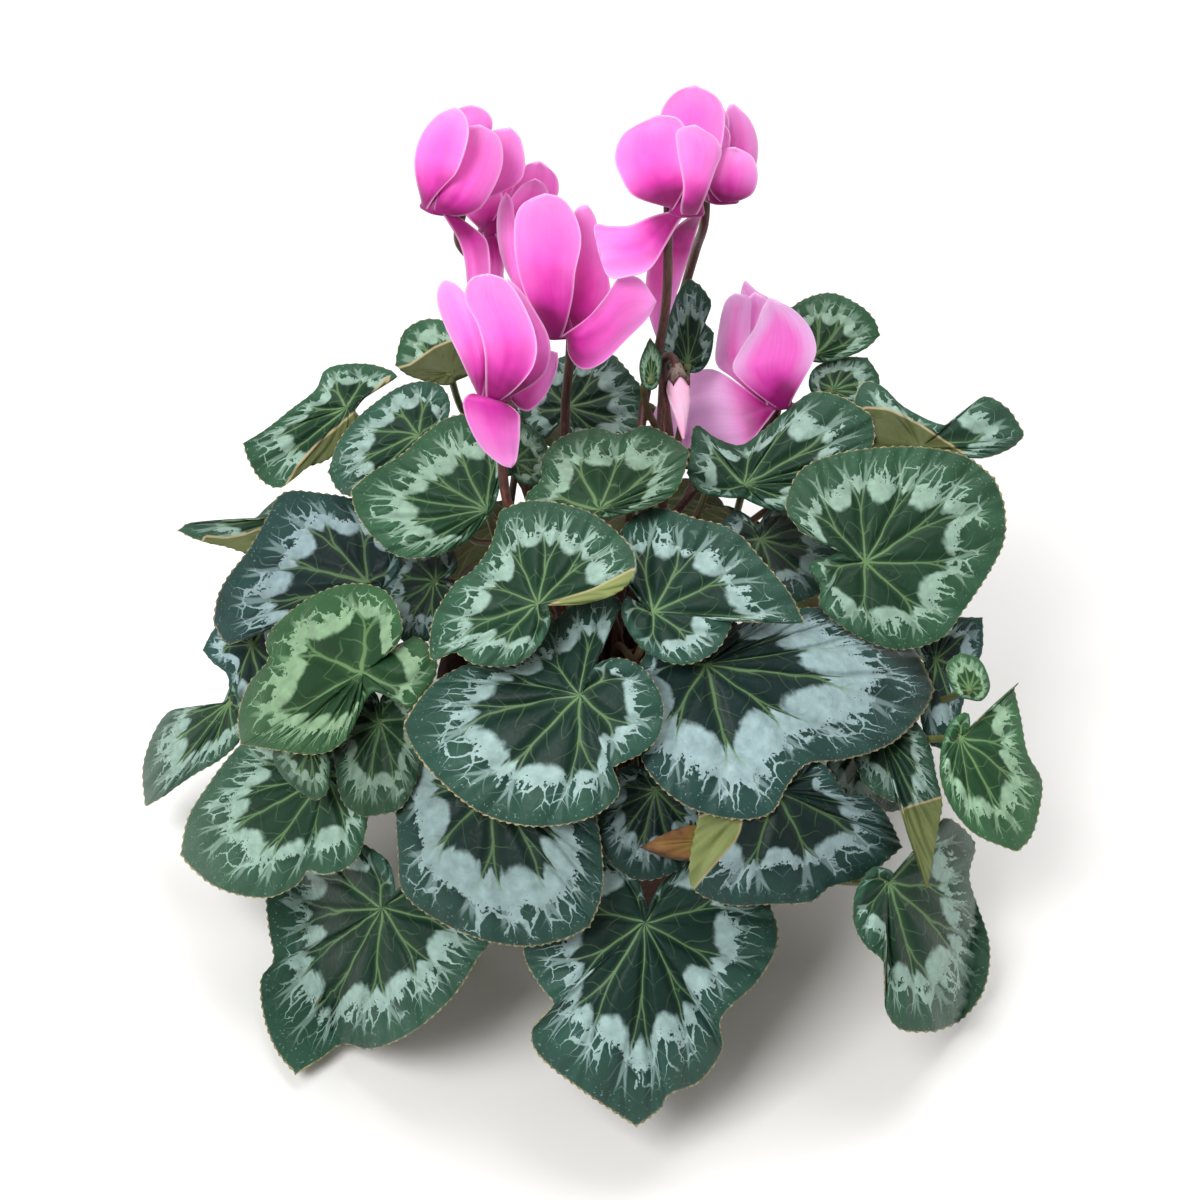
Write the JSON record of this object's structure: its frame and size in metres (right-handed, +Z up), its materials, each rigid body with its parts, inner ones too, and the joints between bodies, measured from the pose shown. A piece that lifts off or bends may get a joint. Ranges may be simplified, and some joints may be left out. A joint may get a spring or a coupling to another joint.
{
  "type": "potted cyclamen",
  "caption": "Potted cyclamen: a mound of toothed heart-shaped leaves with silver markings, nodding blooms of swept-back petals on hooked stems, a tuber in soil and a round pot.",
  "frame": {"origin": "middle of the pot's flat underside, on the surface it stands on", "axes": "+Z up along the pot's axis, -Y towards the plant's front as pictured, +X to its right"},
  "size_m": [0.3811, 0.3354, 0.3429],
  "materials": {
    "leaf": "satin leaf, deep green with silver-green markings",
    "petals": "velvety pink petals, paler at the margins and magenta at the throat",
    "bud": "velvety pale pink",
    "flower_stem": "satin maroon-brown",
    "tuber": "matt corky brown",
    "soil": "matt crumbly dark brown",
    "pot": "matt terracotta-coloured"
  },
  "bodies": {
    "root": {"pot": "pot", "soil": "soil", "tuber": "tuber", "leaf_back_centre": "leaf", "leaf_back_left": "leaf", "leaf_back_middle": "leaf", "leaf_back_right": "leaf", "leaf_back_right_tall": "leaf", "leaf_centre_left": "leaf", "leaf_centre_right": "leaf", "leaf_centre_top": "leaf", "leaf_front_bottom": "leaf", "leaf_front_left_bottom": "leaf", "leaf_front_left_low": "leaf", "leaf_front_right_bottom": "leaf", "leaf_front_right_low": "leaf", "leaf_front_shaded": "leaf", "leaf_left_blue": "leaf", "leaf_left_bottom": "leaf", "leaf_left_edge": "leaf", "leaf_left_green": "leaf", "leaf_left_low": "leaf", "leaf_left_shadow": "leaf", "leaf_middle_left": "leaf", "leaf_middle_right": "leaf", "leaf_rear_1": "leaf", "leaf_rear_10": "leaf", "leaf_rear_2": "leaf", "leaf_rear_3": "leaf", "leaf_rear_4": "leaf", "leaf_rear_5": "leaf", "leaf_rear_6": "leaf", "leaf_rear_7": "leaf", "leaf_rear_8": "leaf", "leaf_rear_9": "leaf", "leaf_right_outer": "leaf", "leaf_right_round": "leaf", "leaf_right_shaded": "leaf", "leaf_right_shadow": "leaf", "leaf_right_young": "leaf", "leaf_upper_left": "leaf", "leaf_upper_left_outer": "leaf", "leaf_upper_left_silver": "leaf", "leaf_upper_right": "leaf", "bloom_left_back": "petals", "bloom_left_front": "petals", "bloom_left_low": "petals", "bloom_middle_back": "petals", "bloom_middle_front": "petals", "bloom_right_back": "petals", "bloom_right_low": "petals", "bud": "bud", "stem_of_bloom_left_back": "flower_stem", "stem_of_bloom_left_front": "flower_stem", "stem_of_bloom_left_low": "flower_stem", "stem_of_bloom_middle_back": "flower_stem", "stem_of_bloom_middle_front": "flower_stem", "stem_of_bloom_right_back": "flower_stem", "stem_of_bloom_right_low": "flower_stem", "stem_of_bud": "flower_stem"}
  },
  "joints": []
}
